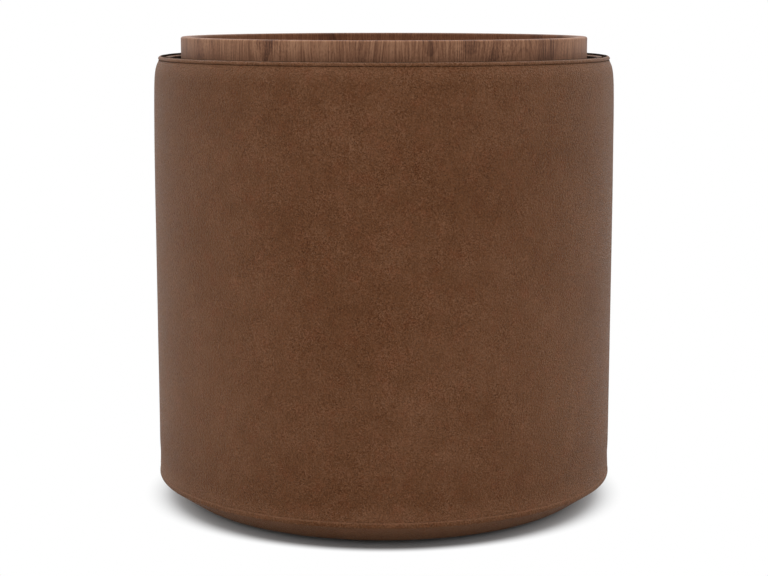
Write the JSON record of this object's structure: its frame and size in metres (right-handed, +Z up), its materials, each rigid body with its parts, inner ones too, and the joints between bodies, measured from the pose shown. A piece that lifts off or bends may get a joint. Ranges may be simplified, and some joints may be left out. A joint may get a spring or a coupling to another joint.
{
  "type": "drum side table",
  "caption": "Round leather-upholstered drum side table with a storage bin inside and a walnut tray that lifts off the top.",
  "frame": {"origin": "on the floor, at the middle of the drum", "axes": "+Z up along the drum's axis; the drum is round, and -Y is the side that faces the viewer, with the side cover's closing seam at +Y"},
  "size_m": [0.4604, 0.4604, 0.468],
  "materials": {
    "leather": "brown pull-up leather, fine grain, soft clouding, satin sheen",
    "walnut": "walnut, grain upright on the rim, satin lacquer",
    "plywood": "bare birch plywood and battens",
    "fibreboard": "bent fibreboard, bare",
    "foam": "thin upholstery foam",
    "black_cloth": "black lining cloth, matt",
    "felt": "dark felt",
    "glide_nylon": "black nylon, fine texture",
    "screw_steel": "zinc-plated steel"
  },
  "bodies": {
    "drum": {"base_board": "plywood", "bottom_band": "leather", "dust_cover": "black_cloth", "base_screw_1": "screw_steel", "base_screw_2": "screw_steel", "base_screw_3": "screw_steel", "base_screw_4": "screw_steel", "glide_1": "glide_nylon", "glide_2": "glide_nylon", "glide_3": "glide_nylon", "glide_4": "glide_nylon", "glide_screw_1": "screw_steel", "glide_screw_2": "screw_steel", "glide_screw_3": "screw_steel", "glide_screw_4": "screw_steel", "bottom_board": "plywood", "top_ring": "plywood", "collar": "plywood", "mid_ring": "plywood", "post_1": "plywood", "post_2": "plywood", "post_3": "plywood", "post_4": "plywood", "post_5": "plywood", "post_6": "plywood", "post_screw_1": "screw_steel", "post_screw_2": "screw_steel", "post_screw_3": "screw_steel", "post_screw_4": "screw_steel", "post_screw_5": "screw_steel", "post_screw_6": "screw_steel", "ledge_screw_1": "screw_steel", "ledge_screw_2": "screw_steel", "ledge_screw_3": "screw_steel", "ledge_screw_4": "screw_steel", "ledge_screw_5": "screw_steel", "ledge_screw_6": "screw_steel", "outer_skin": "fibreboard", "foam_wrap": "foam", "side_cover": "leather", "top_piping": "leather", "piping_tape": "black_cloth", "top_band": "leather", "lining_wall": "black_cloth", "lining_floor": "black_cloth", "ledge_lining": "black_cloth"},
    "tray": {"tray_rim": "walnut", "tray_panel": "walnut", "tray_locator": "plywood", "tray_pad_1": "felt", "tray_pad_2": "felt", "tray_pad_3": "felt", "tray_pad_4": "felt"}
  },
  "joints": [
    {"name": "tray_lift", "type": "slide", "parent": "drum", "child": "tray", "axis": [0, 0, 1], "range_m": [0, 0.12]}
  ]
}
